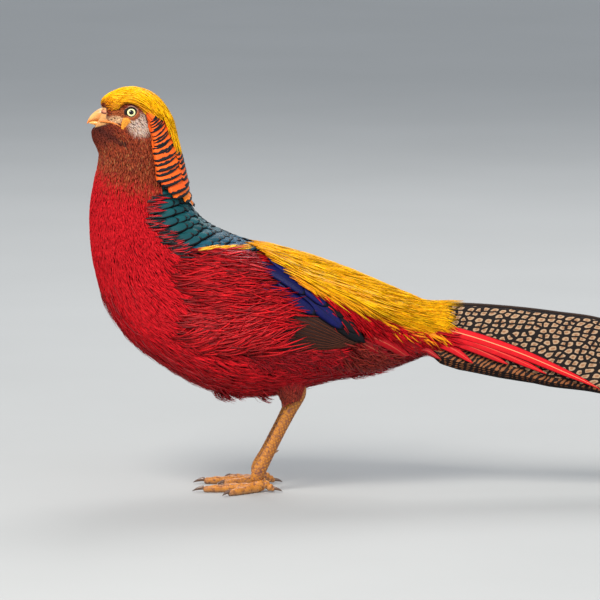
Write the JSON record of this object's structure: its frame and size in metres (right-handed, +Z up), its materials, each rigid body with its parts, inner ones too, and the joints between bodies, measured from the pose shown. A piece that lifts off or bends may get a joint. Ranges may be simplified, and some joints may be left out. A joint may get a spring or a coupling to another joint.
{
  "type": "golden pheasant figure",
  "caption": "Life-size standing golden pheasant cock with crest, barred cape, folded wings and a long roofed tail, standing on both feet.",
  "frame": {"origin": "on the floor under the middle of the whole bird's box, bill tip to tail tip", "axes": "+X towards the tail tip, -X the way the bird faces, -Y its left side, +Z up"},
  "size_m": [0.967, 0.1222, 0.3425],
  "materials": {
    "head_plumage": "rusty face feathers, matt",
    "neck_plumage": "rusty throat feathers, matt",
    "red_plumage": "scarlet hair-like feathers, silky",
    "gold_plumage": "golden silky feathers, glossy",
    "cape_plumage": "orange feathers edged black",
    "wing_plumage": "blue and brown flight feathers, satin",
    "tail_plumage": "black feathers spotted buff, satin",
    "covert_plumage": "scarlet feathers with pale shafts, satin",
    "leg_skin": "scaly horn-yellow skin",
    "horn": "smooth horn",
    "eye": "wet gloss, pale yellow iris"
  },
  "bodies": {
    "root": {"bill_lower": "horn", "bill_upper": "horn", "cape_left": "cape_plumage", "cape_right": "cape_plumage", "claw_hind_left": "horn", "claw_hind_right": "horn", "claw_inner_left": "horn", "claw_inner_right": "horn", "claw_middle_left": "horn", "claw_middle_right": "horn", "claw_outer_left": "horn", "claw_outer_right": "horn", "covert_left": "covert_plumage", "covert_right": "covert_plumage", "crest": "gold_plumage", "eye_left": "eye", "eye_right": "eye", "foot_left": "leg_skin", "foot_right": "leg_skin", "head": "head_plumage", "neck": "neck_plumage", "rump": "gold_plumage", "tail_left": "tail_plumage", "tail_middle": "tail_plumage", "tail_right": "tail_plumage", "tarsus_left": "leg_skin", "tarsus_right": "leg_skin", "thigh_left": "red_plumage", "thigh_right": "red_plumage", "torso": "red_plumage", "wing_left": "wing_plumage", "wing_right": "wing_plumage"}
  },
  "joints": []
}
